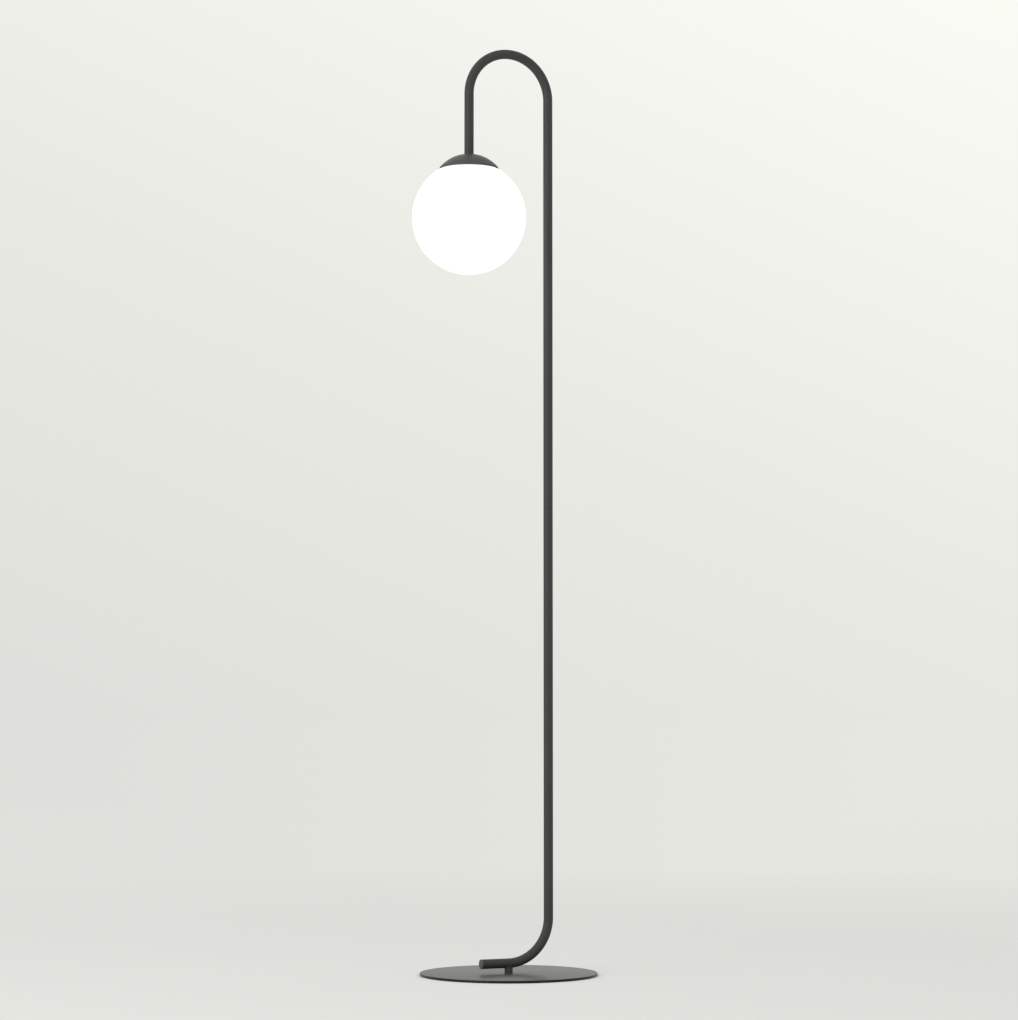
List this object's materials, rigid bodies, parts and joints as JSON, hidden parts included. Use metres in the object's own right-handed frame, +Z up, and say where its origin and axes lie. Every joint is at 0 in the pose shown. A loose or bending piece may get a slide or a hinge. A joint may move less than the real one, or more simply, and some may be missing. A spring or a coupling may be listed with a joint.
{
  "type": "globe floor lamp",
  "caption": "Floor lamp bent from one slim tube: a round flat base, a tall column, an arch, and an opal glass globe hung under a small dome cap.",
  "frame": {"origin": "on the floor, at the centre of the round base", "axes": "+Z up; the lamp lies in the XZ plane, with the column on the +X side and the globe on the -X side; the picture is taken from the -Y side"},
  "size_m": [0.3, 0.28, 1.475],
  "materials": {
    "stem_paint": "satin charcoal powder coat",
    "plug_paint": "satin charcoal powder coat",
    "dome_paint": "satin charcoal powder coat",
    "base_paint": "fine textured charcoal powder coat",
    "pad_felt": "black needled felt",
    "zinc_steel": "bright zinc plating",
    "fitter_steel": "pressed and zinc plated",
    "grommet_rubber": "black moulded rubber",
    "cable_jacket": "black cable sheath",
    "gasket_silicone": "milky silicone",
    "opal_glass": "satin opal glass, lit from inside",
    "holder_plastic": "black moulded thermoset",
    "holder_ceramic": "unglazed steatite",
    "brass_contacts": "stamped brass",
    "contact_nickel": "nickel plating",
    "lead_brown": "brown insulation",
    "lead_blue": "blue insulation",
    "bulb_insulation": "black moulded insulation",
    "bulb_housing": "white moulded housing",
    "bulb_frosted": "frosted diffuser, lit",
    "board_white": "white solder mask",
    "board_green": "green solder mask",
    "chip_yellow": "phosphor, lit"
  },
  "bodies": {
    "lamp": {"base_disc": "base_paint", "base_pad": "pad_felt", "base_post": "stem_paint", "base_screw": "zinc_steel", "locating_pin": "zinc_steel", "lower_stem": "stem_paint", "end_plug": "plug_paint", "stem_socket": "zinc_steel", "stem_stud": "zinc_steel", "upper_stem": "stem_paint", "cord_grommet": "grommet_rubber", "inner_cable": "cable_jacket", "drop_bush": "zinc_steel", "dome_cap": "dome_paint", "hanger_nipple": "zinc_steel", "dome_washer": "zinc_steel", "dome_nut": "zinc_steel", "fitter_nut": "zinc_steel", "globe_fitter": "fitter_steel", "holder_cap": "holder_plastic", "holder_grub_screw": "zinc_steel", "holder_shell": "holder_plastic", "holder_core": "holder_ceramic", "holder_screw_shell": "contact_nickel", "centre_contact": "brass_contacts", "terminal_clamps": "brass_contacts", "terminal_screws": "zinc_steel", "live_lead": "lead_brown", "neutral_lead": "lead_blue"},
    "gasket": {"neck_gasket": "gasket_silicone"},
    "globe": {"glass_globe": "opal_glass"},
    "bulb_tip": {"bulb_tip_contact": "contact_nickel"},
    "bulb": {"bulb_insulator": "bulb_insulation", "bulb_screw_cap": "contact_nickel", "bulb_collar": "bulb_housing", "bulb_dome": "bulb_frosted", "led_board": "board_white", "led_chips": "chip_yellow", "driver_board": "board_green"}
  },
  "joints": [
    {"name": "globe_lower", "type": "slide", "parent": "lamp", "child": "gasket", "axis": [0, 0, -1], "range_m": [0, 0.12]},
    {"name": "globe_turn", "type": "hinge", "parent": "gasket", "child": "globe", "pos_m": [-0.07, 0, 1.2887], "axis": [0, 0, 1], "range_deg": [-612, 0]},
    {"name": "bulb_drop", "type": "slide", "parent": "lamp", "child": "bulb_tip", "axis": [0, 0, -1], "range_m": [0, 0.0282]},
    {"name": "bulb_turn", "type": "hinge", "parent": "bulb_tip", "child": "bulb", "pos_m": [-0.07, 0, 1.263], "axis": [0, 0, 1], "range_deg": [-3601, 0]}
  ],
  "couplings": [
    {"joint": "bulb_turn", "follows": "bulb_drop", "rad_per_m": -2228.1}
  ]
}
